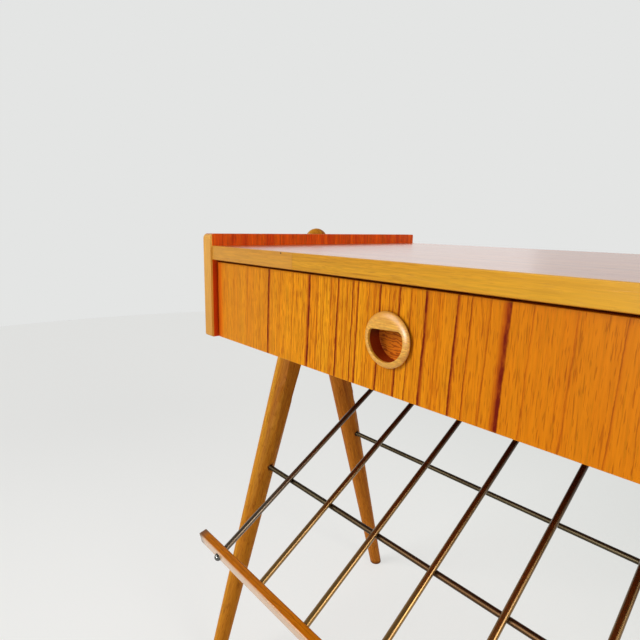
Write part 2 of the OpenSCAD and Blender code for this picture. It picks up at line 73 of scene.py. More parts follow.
def colour(red, green, blue):
    """A screen colour from 0 to 255 as the renderer's linear values."""
    return tuple(((c / 255 + 0.055) / 1.055) ** 2.4 if c > 10 else c / 255 / 12.92
                 for c in (red, green, blue)) + (1,)


def node(tree, kind, feeds=None, **settings):
    """A node with its settings, each input fed by a socket or set to a value."""
    made = tree.nodes.new(kind if "Node" in kind else "ShaderNode" + kind)
    for key, value in settings.items():
        setattr(made, key, value)
    for key, value in (feeds or {}).items():
        if isinstance(value, bpy.types.NodeSocket):
            tree.links.new(value, made.inputs[key])
        else:
            made.inputs[key].default_value = value
    return made


def calc(tree, operation, a, b=0.0, clamp=False):
    """A sum with numbers."""
    return node(tree, "Math", {0: a, 1: b}, operation=operation, use_clamp=clamp).outputs[0]


def vector(tree, operation, a, b=(0, 0, 0)):
    """A sum with vectors. A length, a distance and a dot product are numbers."""
    done = node(tree, "VectorMath", {0: a, 1: b}, operation=operation).outputs
    return done["Value" if operation in ("LENGTH", "DISTANCE", "DOT_PRODUCT") else "Vector"]


def xyz(tree, place):
    """The three coordinates of a place."""
    return node(tree, "SeparateXYZ", {0: place}).outputs


def blend(tree, share, a, b, how="MIX"):
    """Colour a with this share of colour b."""
    mix = node(tree, "Mix", {"Factor": share}, data_type="RGBA", blend_type=how,
               clamp_factor=True)
    for socket, value in ((mix.inputs[6], a), (mix.inputs[7], b)):
        if isinstance(value, bpy.types.NodeSocket):
            tree.links.new(value, socket)
        else:
            socket.default_value = value
    return mix.outputs[2]


def remap(tree, value, low, high, to_low=0.0, to_high=1.0):
    """A smooth step from to_low, where the value is low, to to_high, where it is high."""
    return node(tree, "MapRange", {"Value": value, "From Min": low, "From Max": high,
                                   "To Min": to_low, "To Max": to_high},
                interpolation_type="SMOOTHSTEP").outputs[0]


def stretched_noise(tree, place, scale, detail=2.0, roughness=0.5):
    """Noise whose spots are long where the scale is small."""
    grown = vector(tree, "MULTIPLY", place, scale)
    return node(tree, "TexNoise", {"Vector": grown, "Scale": 1.0, "Detail": detail,
                                   "Roughness": roughness}).outputs["Fac"]


def new_group(name, inputs, outputs, use="Shader"):
    """An empty node group, and the sockets inside it for its inputs and its outputs."""
    tree = bpy.data.node_groups.new(name, use + "NodeTree")
    for label, kind, value in inputs:
        socket = tree.interface.new_socket(label, in_out="INPUT", socket_type="NodeSocket" + kind)
        if value is not None:
            socket.default_value = value
    for label, kind in outputs:
        tree.interface.new_socket(label, in_out="OUTPUT", socket_type="NodeSocket" + kind)
    return tree, tree.nodes.new("NodeGroupInput").outputs, tree.nodes.new("NodeGroupOutput").inputs


# Wood with its grain along Z: growth rings round a pith, streaks, fibres, dashes and pores.
wood_figure, given, result = new_group(
    "wood_figure",
    (("Place", "Vector", (0, 0, 0)), ("Pith", "Vector", (0.07, 0.05, 0)),
     ("Ring", "Float", 0.007), ("Pale", "Color", (1, 1, 1, 1)), ("Deep", "Color", (0, 0, 0, 1)),
     ("Streak", "Color", (0, 0, 0, 1)), ("Bands", "Float", 0.5), ("Streaks", "Float", 0.5),
     ("Fibres", "Float", 0.5), ("Pores", "Float", 0.5), ("Dashes", "Float", 0.0)),
    (("Color", "Color"), ("Dull", "Float"), ("Height", "Float")))
t = wood_figure
sway = vector(t, "MULTIPLY", given["Place"], (7, 7, 1.3))
sway = node(t, "TexNoise", {"Vector": sway, "Scale": 1.0, "Detail": 2.0}).outputs["Color"]
sway = vector(t, "SUBTRACT", sway, (0.5, 0.5, 0.5))
sway = vector(t, "MULTIPLY", sway, (0.022, 0.022, 0))
swayed = vector(t, "ADD", given["Place"], sway)
from_pith = vector(t, "ADD", swayed, given["Pith"])
from_pith = vector(t, "MULTIPLY", from_pith, (1, 1, 0))
radius = vector(t, "LENGTH", from_pith)
rings = node(t, "TexNoise", {"W": calc(t, "DIVIDE", radius, given["Ring"]), "Scale": 1.0,
                             "Detail": 3.0, "Roughness": 0.62},
             noise_dimensions="1D").outputs["Fac"]
rings = remap(t, rings, 0.30, 0.72)
streaks = remap(t, stretched_noise(t, swayed, (210, 210, 3.2), 3.0, 0.62), 0.50, 0.74)
fibres = stretched_noise(t, given["Place"], (820, 820, 42), 3.0, 0.62)
dashes = remap(t, stretched_noise(t, swayed, (760, 760, 34), 2.0, 0.6), 0.58, 0.68)
fine_dashes = stretched_noise(t, given["Place"], (1350, 1350, 90), 1.0, 0.5)
fine_dashes = remap(t, fine_dashes, 0.58, 0.68)
dashes = calc(t, "MAXIMUM", dashes, fine_dashes)
pores = remap(t, stretched_noise(t, given["Place"], (1500, 1500, 60), 1.0), 0.36, 0.24)
shade = blend(t, calc(t, "MULTIPLY", rings, given["Bands"]), given["Pale"], given["Deep"])
shade = blend(t, calc(t, "MULTIPLY", streaks, given["Streaks"]), shade, given["Streak"])
spread = remap(t, fibres, 0.25, 0.75, -1.0, 1.0)
spread = calc(t, "MULTIPLY", spread, calc(t, "MULTIPLY", given["Fibres"], 0.30))
light = calc(t, "ADD", 1.0, spread)
shade = node(t, "VectorMath", {0: shade, "Scale": light}, operation="SCALE").outputs[0]
shade = blend(t, calc(t, "MULTIPLY", dashes, given["Dashes"]), shade, given["Streak"])
shade = blend(t, calc(t, "MULTIPLY", pores, given["Pores"]), shade, given["Streak"])
t.links.new(shade, result["Color"])
t.links.new(calc(t, "MULTIPLY", pores, 0.25), result["Dull"])
t.links.new(calc(t, "SUBTRACT", calc(t, "MULTIPLY", fibres, 0.5), pores), result["Height"])

# Hands and dusters polish a board's edges pale. The mask rises within Width of an edge of the
# box that has this Middle and these Half sizes.
handled_edges, given, result = new_group(
    "handled_edges",
    (("Place", "Vector", (0, 0, 0)), ("Middle", "Vector", (0, 0, 0)),
     ("Half", "Vector", (1, 1, 1)), ("Width", "Float", 0.0015)),
    (("Mask", "Float"),))
t = handled_edges
off = vector(t, "SUBTRACT", given["Place"], given["Middle"])
off = vector(t, "ABSOLUTE", off)
inward = vector(t, "SUBTRACT", given["Half"], off)
sides = xyz(t, inward)
low = calc(t, "MINIMUM", sides[0], sides[1])
high = calc(t, "MAXIMUM", sides[0], sides[1])
nearest_edge = calc(t, "MAXIMUM", low, calc(t, "MINIMUM", high, sides[2]))
rubbed = stretched_noise(t, given["Place"], (70, 70, 70), 3.0, 0.6)
reach = calc(t, "MULTIPLY", given["Width"], calc(t, "MULTIPLY", rubbed, 2.0))
worn = node(t, "MapRange", {"Value": nearest_edge, "From Min": reach, "From Max": 0.0},
            interpolation_type="SMOOTHSTEP").outputs[0]
t.links.new(worn, result["Mask"])


def wood(name, pale, deep, streak, turn=(0, 0, 0), shift=(0, 0, 0), pith=(0.07, 0.05, 0),
         ring=0.007, bands=0.5, streaks=0.5, fibres=0.5, pores=0.5, dashes=0.0, edges=None,
         edge_share=0.35, gloss=0.38, relief=0.00012, specular=0.22, coat=0.0, coat_gloss=0.2,
         extra=None):
    """A wood material. turn takes the piece's coordinates to ones with the grain along Z, edges
    is the box whose edges are worn, and extra(tree, place, colour) adds the piece's own marks."""
    made = bpy.data.materials.new(name)
    made.use_nodes = True
    t = made.node_tree
    shader = t.nodes["Principled BSDF"]
    place = node(t, "TexCoord").outputs["Object"]
    turned = node(t, "Mapping", {"Vector": place, "Rotation": turn, "Location": shift}).outputs[0]
    figure = t.nodes.new("ShaderNodeGroup")
    figure.node_tree = wood_figure
    t.links.new(turned, figure.inputs["Place"])
    for label, value in (("Pith", pith), ("Ring", ring), ("Pale", pale), ("Deep", deep),
                         ("Streak", streak), ("Bands", bands), ("Streaks", streaks),
                         ("Fibres", fibres), ("Pores", pores), ("Dashes", dashes)):
        figure.inputs[label].default_value = value
    shade = figure.outputs["Color"]
    if extra:
        shade = extra(t, place, shade)
    if edges:
        rim = t.nodes.new("ShaderNodeGroup")
        rim.node_tree = handled_edges
        t.links.new(place, rim.inputs["Place"])
        rim.inputs["Middle"].default_value = (edges[0] + edges[1]) / 2
        rim.inputs["Half"].default_value = (edges[1] - edges[0]) / 2
        rim.inputs["Width"].default_value = 0.0014
        worn = calc(t, "MULTIPLY", rim.outputs["Mask"], edge_share)
        shade = blend(t, worn, shade, blend(t, 0.55, shade, pale))
    t.links.new(shade, shader.inputs["Base Color"])
    t.links.new(calc(t, "ADD", figure.outputs["Dull"], gloss), shader.inputs["Roughness"])
    bump = node(t, "Bump", {"Height": figure.outputs["Height"], "Strength": 0.6,
                            "Distance": relief})
    t.links.new(bump.outputs[0], shader.inputs["Normal"])
    shader.inputs["Specular IOR Level"].default_value = specular
    shader.inputs["Coat Weight"].default_value = coat
    shader.inputs["Coat Roughness"].default_value = coat_gloss
    return made


def to_object(name, bm):
    """An object at the origin for a finished mesh."""
    mesh = bpy.data.meshes.new(name)
    bm.to_mesh(mesh)
    bm.free()
    made = bpy.data.objects.new(name, mesh)
    scene.collection.objects.link(made)
    return made


def to_plain_mesh(piece):
    """Turns a piece's modifiers into mesh."""
    seen = piece.evaluated_get(bpy.context.evaluated_depsgraph_get())
    mesh = bpy.data.meshes.new_from_object(seen)
    mesh.name = piece.name
    piece.modifiers.clear()
    piece.data = mesh


def settle(piece):
    """Smooth shading over rounded edges, with the flat faces kept flat."""
    for face in piece.data.polygons:
        face.use_smooth = True
    piece.data.set_sharp_from_angle(angle=math.radians(40))
    weigh = piece.modifiers.new("flat_faces", "WEIGHTED_NORMAL")
    weigh.keep_sharp = True
    weigh.weight = 80
    to_plain_mesh(piece)
    return piece


def round_over(bm, edges, amount, segments=3):
    """Rounds these edges."""
    bmesh.ops.bevel(bm, geom=edges, offset=amount, segments=segments, profile=0.5,
                    affect="EDGES", clamp_overlap=True)


def upright(name, x_low, x_high, outline, edge, glued):
    """A board sawn to an outline of (y, z) points, with every edge of its two faces rounded
    that isn't glued."""
    bm = bmesh.new()
    face = bm.faces.new([bm.verts.new((x_low, y, z)) for y, z in outline])
    grown = bmesh.ops.extrude_face_region(bm, geom=[face])["geom"]
    for v in grown:
        if isinstance(v, bmesh.types.BMVert):
            v.co.x = x_high
    bmesh.ops.recalc_face_normals(bm, faces=bm.faces)
    rims = [e for e in bm.edges if abs(e.verts[0].co.x - e.verts[1].co.x) < 1e-6
            and not all(glued(v.co) for v in e.verts)]
    round_over(bm, rims, edge)
    return settle(to_object(name, bm))


def arc(y, z, radius, start, stop, steps=8):
    """Points (y, z) round a corner, from the start angle to the stop angle."""
    return [(y + radius * math.cos(math.radians(start + (stop - start) * i / steps)),
             z + radius * math.sin(math.radians(start + (stop - start) * i / steps)))
            for i in range(steps + 1)]


front_corner, small_corner = 0.005, 0.002
lipping_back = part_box("left_side_panel")[0].y
panel_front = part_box("left_panel_lipping")[0].y
panel_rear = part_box("left_side_panel")[1].y
panel_low, panel_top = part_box("left_side_panel")[0].z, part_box("left_side_panel")[1].z
top_arc = arc(panel_front + front_corner, panel_top - front_corner, front_corner, 90, 180, 24)
on_panel = [p for p in top_arc if p[0] >= lipping_back - 1e-7]
joint_angle = math.acos((lipping_back - panel_front - front_corner) / front_corner)
joint_top = (lipping_back, panel_top - front_corner + front_corner * math.sin(joint_angle))
panel_outline = ([(lipping_back, panel_low), joint_top] + on_panel[::-1]
                 + arc(panel_rear - small_corner, panel_top - small_corner, small_corner, 90, 0)
                 + arc(panel_rear - small_corner, panel_low + small_corner, small_corner, 0, -90))
panel_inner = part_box("left_side_panel")[1].x
under_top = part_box("top_board")[0].z


def browner_outside(t, place, shade):
    """The inner faces are red teak, painted redder for warm light bounced onto them, and darker
    under the top as painted shade. The outer ones are brown.
    """
    split = xyz(t, place)
    outward = calc(t, "ADD", calc(t, "ABSOLUTE", split[0]), panel_inner)
    worn = remap(t, split[1], panel_rear - 0.0012, panel_rear - 0.0004)
    outer = calc(t, "MAXIMUM", remap(t, outward, 0.0004, 0.0016), worn)
    light = node(t, "RGBToBW", {0: shade}).outputs[0]
    brown = blend(t, remap(t, light, 0.05, 0.22), colour(140, 66, 16), colour(198, 110, 32))
    # Painted shade on the inner faces just under the top.
    shaded = remap(t, split[2], under_top, under_top - 0.006, 0.0, 0.7)
    shade = blend(t, shaded, shade, colour(188, 42, 4), "DARKEN")
    return blend(t, calc(t, "MULTIPLY", outer, 0.95), shade, brown)


# Part of this red is painted bounce light, which only the inner faces keep.
red_teak = dict(pale=colour(234, 94, 4), deep=colour(204, 54, 2), streak=colour(122, 20, 0))
for name, along in (("left_side_panel", 0.3), ("right_side_panel", 0.9)):
    low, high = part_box(name)
    panel = upright(name + "_veneered", low.x, high.x, panel_outline, 0.0005,
                    lambda p: p.y < lipping_back + 1e-6)
    panel.data.materials.append(wood(
        name + "_teak", **red_teak, shift=(along, along * 2, along), pith=(0.02, 0.35, 0),
        ring=0.012, bands=0.75, streaks=0.4, fibres=0.7, pores=0.5, dashes=0.4,
        edges=(low, high), gloss=0.4, specular=0.12, extra=browner_outside))
    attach(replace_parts(panel, name), "table")


# Lippings of the side panels
# Strips of solid light hardwood, 2.5 mm thick, glued over the front edges and rounded over
# at the top with the panel.

low_arc = arc(panel_front + small_corner, panel_low + small_corner, small_corner, 180, 270)
lipping_outline = (low_arc[::-1] + [p for p in top_arc if p[0] < lipping_back - 1e-7][::-1]
                   + [joint_top, (lipping_back, panel_low)])
light_hardwood = dict(pale=colour(228, 168, 70), deep=colour(210, 138, 40),
                      streak=colour(150, 84, 20))


def darker_below(t, place, shade):
    """The strip is darker and deeper in colour towards its lower end."""
    lower = remap(t, xyz(t, place)[2], panel_top - 0.02, panel_low, 0.0, 0.6)
    return blend(t, lower, shade, colour(200, 134, 42))


for name, along in (("left_panel_lipping", 0.2), ("right_panel_lipping", 0.6)):
    low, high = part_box(name)
    strip = upright(name + "_strip", low.x, high.x, lipping_outline, 0.0006,
                    lambda p: p.y > lipping_back - 1e-6)
    strip.data.materials.append(wood(
        name + "_wood", **light_hardwood, shift=(along, 0.1, along), pith=(0.05, 0.02, 0),
        ring=0.004, streaks=0.25, fibres=0.45, pores=0.22, edges=(low, high), gloss=0.36,
        extra=darker_below))
    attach(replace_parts(strip, name), "table")


# Top with its lipping
# A veneered board let in between the side panels, a little below their upper edges, with a
# lipping of solid light hardwood along its front. It has the most polish of the whole table.

def board(name, low, high, edge, glued):
    """A square board, with every edge rounded that isn't glued."""
    bm = bmesh.new()
    bmesh.ops.create_cube(bm, size=1)
    for v in bm.verts:
        v.co = Vector(low[i] + (v.co[i] + 0.5) * (high[i] - low[i]) for i in range(3))
    round_over(bm, [e for e in bm.edges if not all(glued(v.co) for v in e.verts)], edge)
    return settle(to_object(name, bm))


grain_across = (0, math.radians(90), 0)
low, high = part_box("top_board")
top = board("top_board_veneered", low, high, 0.0003, lambda p: p.y < low.y + 1e-6)
top.data.materials.append(wood(
    "top_teak", pale=colour(192, 104, 30), deep=colour(168, 72, 14), streak=colour(104, 34, 4),
    turn=grain_across, shift=(0.2, 0.4, 0.1), pith=(0.3, 0.02, 0), ring=0.012,
    bands=0.7, pores=0.4, edges=(low, high), gloss=0.33, specular=0.5, coat=1.0,
    coat_gloss=0.25, relief=0.00004))
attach(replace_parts(top, "top_board"), "table")

strip_low, strip_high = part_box("top_lipping")
seam_x = -0.1039
speck_at = (-0.1195, strip_low.y, strip_high.z - 0.0012)


def pieced_strip(t, place, shade):
    """Two lengths of wood meet at a seam, the left one paler and duller. Near it is a dark
    speck, and the lower edge is painted dark red, a painted shade for the gap over the drawer."""
    split = xyz(t, place)
    left = remap(t, split[0], seam_x + 0.0005, seam_x - 0.0005, 0.0, 0.35)
    shade = blend(t, left, shade, colour(206, 144, 76))
    shade = blend(t, remap(t, split[0], -0.02, 0.16, 0.0, 0.5), shade, colour(230, 172, 40))
    # Painted shade: the lower edge is darkened for the dark gap above the drawer.
    painted_gap_shade = remap(t, split[2], strip_low.z + 0.0008, strip_low.z + 0.0003, 0.0, 0.8)
    shade = blend(t, painted_gap_shade, shade, colour(140, 24, 6))
    from_seam = calc(t, "ABSOLUTE", calc(t, "SUBTRACT", split[0], seam_x))
    shade = blend(t, remap(t, from_seam, 0.0007, 0.0002, 0.0, 0.3), shade, colour(150, 84, 20))
    from_speck = vector(t, "DISTANCE", place, speck_at)
    return blend(t, remap(t, from_speck, 0.0011, 0.0006), shade, colour(60, 24, 8))


top_strip = board("top_lipping_strip", strip_low, strip_high, 0.0007,
                  lambda p: p.y > strip_high.y - 1e-6)
top_strip.data.materials.append(wood(
    "top_lipping_wood", pale=colour(216, 154, 37), deep=colour(200, 131, 22),
    streak=colour(150, 84, 12), turn=grain_across, shift=(0.5, 0.2, 0.3),
    pith=(0.03, 0.05, 0), ring=0.004, streaks=0.22, fibres=0.45, pores=0.3, dashes=0.25,
    edges=(strip_low, strip_high), edge_share=0.8, gloss=0.3, specular=0.17,
    extra=pieced_strip))
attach(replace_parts(top_strip, "top_lipping"), "table")


# Bottom of the case and plywood back
# The bottom board is dowelled between the side panels. The back slides in grooves in the
# panels and the top, and is screwed to the bottom board's rear edge.

def repaint(name, material):
    """Gives a CAD node its material."""
    nodes[name].material_slots[0].material = material


repaint("bottom_board", wood(
    "bottom_teak", pale=colour(190, 96, 26), deep=colour(158, 66, 14), streak=colour(100, 34, 6),
    turn=grain_across, shift=(0.9, 0.1, 0.6), pith=(0.25, 0.02, 0), ring=0.011, bands=0.7,
    edges=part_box("bottom_board"), gloss=0.45))
repaint("back_panel", wood(
    "back_plywood", pale=colour(214, 176, 122), deep=colour(196, 150, 94),
    streak=colour(150, 104, 58), turn=grain_across, shift=(0.1, 0.7, 0.2),
    pith=(0.4, 0.01, 0), ring=0.018, bands=0.8, streaks=0.3, fibres=0.35, pores=0.2,
    edges=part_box("back_panel"), gloss=0.55))


# Dowels and screws
# Plain beech dowels, hidden in the joints, and slotted countersunk steel screws, their heads
# flush with the wood.

beech = wood("dowel_beech", pale=colour(224, 190, 142), deep=colour(208, 168, 116),
             streak=colour(170, 122, 74), ring=0.002, gloss=0.5)
repaint("carcass_dowels", beech)
repaint("leg_apex_dowels", beech)


def metal(name, bright, dull, tarnish, gloss=0.25, along=(90, 90, 90), spots=0.5, relief=0.00003,
          lacquer=0.0, extra=None):
    """Bare metal: its colour, a duller share of it in drifts, and tarnish in spots."""
    made = bpy.data.materials.new(name)
    made.use_nodes = True
    t = made.node_tree
    shader = t.nodes["Principled BSDF"]
    place = node(t, "TexCoord").outputs["Object"]
    drifts = remap(t, stretched_noise(t, place, along, 3.0, 0.6), 0.35, 0.7)
    specks = remap(t, stretched_noise(t, place, (420, 420, 420), 3.0, 0.6), 0.58, 0.72)
    shade = blend(t, drifts, bright, dull)
    shade = blend(t, calc(t, "MULTIPLY", specks, spots), shade, tarnish)
    if extra:
        shade = extra(t, place, shade)
    t.links.new(shade, shader.inputs["Base Color"])
    rough = calc(t, "ADD", calc(t, "MULTIPLY", drifts, 0.08),
                 calc(t, "MULTIPLY", specks, 0.12 * spots))
    t.links.new(calc(t, "ADD", rough, gloss), shader.inputs["Roughness"])
    shader.inputs["Metallic"].default_value = 1.0
    shader.inputs["Coat Weight"].default_value = lacquer
    shader.inputs["Coat Roughness"].default_value = 0.2
    bump = node(t, "Bump", {"Height": drifts, "Strength": 0.3, "Distance": relief})
    t.links.new(bump.outputs[0], shader.inputs["Normal"])
    return made


steel = metal("screw_metal", (0.50, 0.49, 0.46, 1), (0.36, 0.35, 0.33, 1),
              (0.16, 0.12, 0.08, 1), 0.3)
for name in ("back_panel_screws", "leg_screws", "batten_screws", "runner_screws",
             "drawer_bottom_screws"):
    repaint(name, steel)


# Legs
# Turned, tapering legs of solid light teak in crossed pairs. The inner face of each is planed
# flat against the side panel, and each pair is mitred and rounded over to one dome.

leg_pale, leg_deep, leg_streak = colour(214, 150, 42), colour(188, 112, 20), colour(112, 48, 6)
# The rear legs take darker copies of the colours, as painted shade.
rear_shaded_pale, rear_shaded_deep = colour(186, 114, 34), colour(158, 86, 20)
leg_lean = math.radians(16.44)
# The legs' middle lines stand this far out at the floor, and lean in this much per metre.
leg_out, leg_in = 0.2689, 0.0129


def leg_marks(rod_node, inner_shade_share):
    """Painted shade in the gap round the cross rod's hole, painted shade on the inner side, darker
    lower down, small knots, and dirt and painted contact shade at the foot."""
    low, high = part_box(rod_node)

    def marks(t, place, shade):
        off = vector(t, "SUBTRACT", place, (low + high) / 2)
        away = vector(t, "LENGTH", vector(t, "MULTIPLY", off, (0, 1, 1)))
        # Painted shade in the gap round the cross rod, where it enters the leg.
        shade = blend(t, remap(t, away, 0.0052, 0.0034), shade, colour(44, 20, 8))
        split = xyz(t, place)
        lower = remap(t, split[2], 0.42, 0.12, 0.0, 0.35)
        shade = blend(t, lower, shade, leg_deep, "DARKEN")
        middle = calc(t, "SUBTRACT", leg_out, calc(t, "MULTIPLY", split[2], leg_in))
        inward = calc(t, "SUBTRACT", middle, calc(t, "ABSOLUTE", split[0]))
        # Painted shade on the inner side of the leg, which faces away from the window.
        inner_side_shade = remap(t, inward, -0.001, 0.007, 0.0, inner_shade_share)
        shade = blend(t, inner_side_shade, shade, colour(150, 76, 16))
        knots = stretched_noise(t, place, (170, 170, 62), 3.0, 0.7)
        shade = blend(t, remap(t, knots, 0.59, 0.71, 0.0, 0.45), shade, leg_streak)
        # Dirt and painted contact shade at the foot.
        return blend(t, remap(t, split[2], 0.009, 0.0, 0.0, 0.75), shade, colour(60, 26, 8))
    return marks


for hand, end, shift in (("left", "front", (0.11, 0.30, 0.2)),
                         ("left", "rear", (0.52, 0.10, 0.7)),
                         ("right", "front", (0.83, 0.20, 0.4)),
                         ("right", "rear", (0.27, 0.60, 0.9))):
    front = end == "front"
    name = hand + "_" + end + "_leg"
    repaint(name, wood(
        name + "_wood", pale=leg_pale if front else rear_shaded_pale,
        deep=leg_deep if front else rear_shaded_deep, streak=leg_streak,
        turn=(leg_lean if front else -leg_lean, 0, 0), shift=shift, pith=(0.05, 0.06, 0),
        ring=0.005, bands=0.6, streaks=0.3, pores=0.45, dashes=0.5, gloss=0.46, specular=0.04,
        relief=0.00004, extra=leg_marks(end + "_cross_rod", 0.4 if front else 0.1)))


# Cross rods
# Two round brass rods, gone dark with age, pushed into holes in the legs.

def browner_right(t, place, shade):
    """The front rod turns from grey-green at the left to brown at the right."""
    x = xyz(t, place)[0]
    return blend(t, remap(t, x, -0.17, 0.02, 0.0, 0.75), shade, (0.072, 0.034, 0.014, 1))


for name, extra in (("front_cross_rod", browner_right), ("rear_cross_rod", None)):
    repaint(name, metal(name + "_metal", (0.064, 0.050, 0.028, 1), (0.042, 0.032, 0.018, 1),
                        (0.016, 0.011, 0.006, 1), 0.36, along=(14, 200, 200), extra=extra))


# Rack rods
# Seven lacquered brass rods that rise from the front rail over the front cross rod to the rear
# batten. The outer two go through the rail into cap nuts, which hide their threaded ends.

def grow(name, tree, inputs, material):
    """Runs a geometry tree and keeps its result as a plain mesh."""
    carrier = to_object(name, bmesh.new())
    run = carrier.modifiers.new("grow", "NODES")
    run.node_group = tree
    for item in tree.interface.items_tree:
        if item.item_type == "SOCKET" and item.in_out == "INPUT" and item.name in inputs:
            run[item.identifier] = inputs[item.name]
    to_plain_mesh(carrier)
    carrier.data.materials.clear()
    carrier.data.materials.append(material)
    return carrier


rod_row, given, result = new_group(
    "rod_row",
    (("Geometry", "Geometry", None), ("Count", "Int", 7), ("Pitch", "Float", 0.07),
     ("Foot", "Vector", (0, 0, 0)), ("Slope", "Float", 0.5), ("Length", "Float", 0.4),
     ("Radius", "Float", 0.003), ("Metal", "Material", None)),
    (("Geometry", "Geometry"),), use="Geometry")
t = rod_row
one = node(t, "GeometryNodeMeshCylinder", {"Vertices": 40, "Side Segments": 24,
                                           "Radius": given["Radius"],
                                           "Depth": given["Length"]}).outputs["Mesh"]
lift = node(t, "CombineXYZ", {"Z": calc(t, "DIVIDE", given["Length"], 2.0)}).outputs[0]
one = node(t, "GeometryNodeTransform", {"Geometry": one, "Translation": lift}).outputs[0]
tilt = node(t, "CombineXYZ", {"X": calc(t, "SUBTRACT", given["Slope"], math.pi / 2)}).outputs[0]
one = node(t, "GeometryNodeTransform", {"Geometry": one, "Rotation": tilt}).outputs[0]
one = node(t, "GeometryNodeSetShadeSmooth", {0: one}).outputs[0]
step = node(t, "CombineXYZ", {"X": given["Pitch"]}).outputs[0]
row = node(t, "GeometryNodeMeshLine", {"Count": given["Count"], "Start Location": given["Foot"],
                                       "Offset": step}).outputs[0]
row = node(t, "GeometryNodeInstanceOnPoints", {"Points": row, "Instance": one}).outputs[0]
row = node(t, "GeometryNodeRealizeInstances", {"Geometry": row}).outputs[0]
row = node(t, "GeometryNodeSetMaterial", {"Geometry": row, "Material": given["Metal"]}).outputs[0]
t.links.new(row, result[0])


def patina_and_painted_reflection(t, place, shade):
    """The rods' lower halves keep their bright brass, and the left rod's has gone grey. Higher up
    they are painted nearly black, a painted reflection of the case's dark underside."""
    split = xyz(t, place)
    drift = calc(t, "MULTIPLY", stretched_noise(t, place, (30, 12, 12), 2.0), 0.06)
    # Painted reflection: the rods darken upwards, as if mirroring the case's dark underside.
    painted_dark_reflection = remap(t, calc(t, "ADD", split[1], drift), -0.08, 0.09, 0.0, 0.92)
    shade = blend(t, painted_dark_reflection, shade, (0.024, 0.008, 0.003, 1))
    greyed = calc(t, "MULTIPLY", remap(t, split[0], -0.19, -0.20, 0.0, 0.85),
                  calc(t, "SUBTRACT", 1.0, painted_dark_reflection))
    return blend(t, greyed, shade, (0.10, 0.078, 0.058, 1))


brass = metal("rack_rod_metal", (0.29, 0.160, 0.040, 1), (0.22, 0.116, 0.027, 1),
              (0.07, 0.03, 0.008, 1), 0.25, along=(60, 9, 9), spots=0.04, relief=0.000002,
              lacquer=0.6, extra=patina_and_painted_reflection)
rod_count = 7
rod_slope = math.radians(30)
# The second rod and the last but one are plain ones, so they give the row its place and pitch.
low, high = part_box("rack_rod_2")
last_low, last_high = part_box("rack_rod_%d" % (rod_count - 1))
rod_radius = (high.x - low.x) / 2
rod_length = (high.y - low.y - 2 * rod_radius * math.sin(rod_slope)) / math.cos(rod_slope)
foot = Vector(((low.x + high.x) / 2, low.y + rod_radius * math.sin(rod_slope),
               low.z + rod_radius * math.cos(rod_slope)))
rod_pitch = ((last_low.x + last_high.x) / 2 - foot.x) / (rod_count - 3)
foot.x -= rod_pitch
rack_rods = grow("rack_rods", rod_row,
                 {"Count": rod_count, "Pitch": rod_pitch, "Foot": foot, "Slope": rod_slope,
                  "Length": rod_length, "Radius": rod_radius, "Metal": brass}, brass)
rack_rods.data.set_sharp_from_angle(angle=math.radians(40))
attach(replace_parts(rack_rods, *["rack_rod_%d" % (i + 1) for i in range(rod_count)]), "table")


# Rack rail, cap nuts and rear batten
# The front rail is a strip of teak with rounded edges and ends, drilled for the rods. Two small
# domed nuts hold it on. The batten that takes the rods' upper ends is screwed under the case.

rail_low, rail_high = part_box("rack_front_rail")
rail_middle = (rail_low + rail_high) / 2
rail_lean = math.radians(12)
rail_half_depth = 0.0046


def rail_front_face(t, place):
    """1 on the leaning front face of the rail, and 0 behind it."""
    off = vector(t, "SUBTRACT", place, rail_middle)
    back = vector(t, "DOT_PRODUCT", off, (0, math.cos(rail_lean), math.sin(rail_lean)))
    return remap(t, back, 0.001 - rail_half_depth, -rail_half_depth)


def rail_ends_and_painted_light(t, place, shade):
    """The rail's front face is painted pale, a painted sheen of the light on it, its end grain
    has gone grey-brown, and its rear edge is painted darker as shade."""
    split = xyz(t, place)
    from_end = calc(t, "SUBTRACT", rail_high.x, calc(t, "ABSOLUTE", split[0]))
    patches = calc(t, "MULTIPLY", stretched_noise(t, place, (120, 200, 200), 3.0, 0.6), 0.006)
    # Painted sheen: the front face is painted pale for the light and glare on it.
    painted_front_glare = calc(t, "MULTIPLY", rail_front_face(t, place), 0.6)
    shade = blend(t, painted_front_glare, shade, colour(224, 196, 160))
    end_grain = remap(t, calc(t, "ADD", from_end, patches), 0.0175, 0.006, 0.0, 0.85)
    shade = blend(t, end_grain, shade, colour(112, 84, 64))
    from_rear = calc(t, "SUBTRACT", rail_high.y, split[1])
    # Painted shade along the rail's rear edge.
    return blend(t, remap(t, from_rear, 0.0022, 0.0008, 0.0, 0.6), shade, colour(110, 52, 14))


rail_teak = wood(
    "rail_teak", pale=colour(196, 114, 12), deep=colour(172, 90, 4), streak=colour(100, 42, 2),
    turn=grain_across, shift=(0.3, 0.8, 0.5), pith=(0.05, 0.02, 0), ring=0.004,
    bands=0.6, streaks=0.4, pores=0.4, dashes=0.4, gloss=0.22, specular=0.14, coat_gloss=0.12,
    extra=rail_ends_and_painted_light)
t = rail_teak.node_tree
polished = rail_front_face(t, node(t, "TexCoord").outputs["Object"])
t.links.new(polished, t.nodes["Principled BSDF"].inputs["Coat Weight"])
repaint("rack_front_rail", rail_teak)
repaint("rack_cap_nuts", metal("nut_metal", (0.13, 0.13, 0.12, 1), (0.08, 0.075, 0.07, 1),
                               (0.03, 0.025, 0.02, 1), 0.16))
repaint("rack_rear_batten", wood(
    "batten_teak", pale=colour(204, 124, 50), deep=colour(178, 92, 30), streak=colour(116, 50, 16),
    turn=grain_across, shift=(0.7, 0.3, 0.2), pith=(0.06, 0.02, 0), ring=0.005,
    bands=0.6, streaks=0.4, edges=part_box("rack_rear_batten"), gloss=0.42))


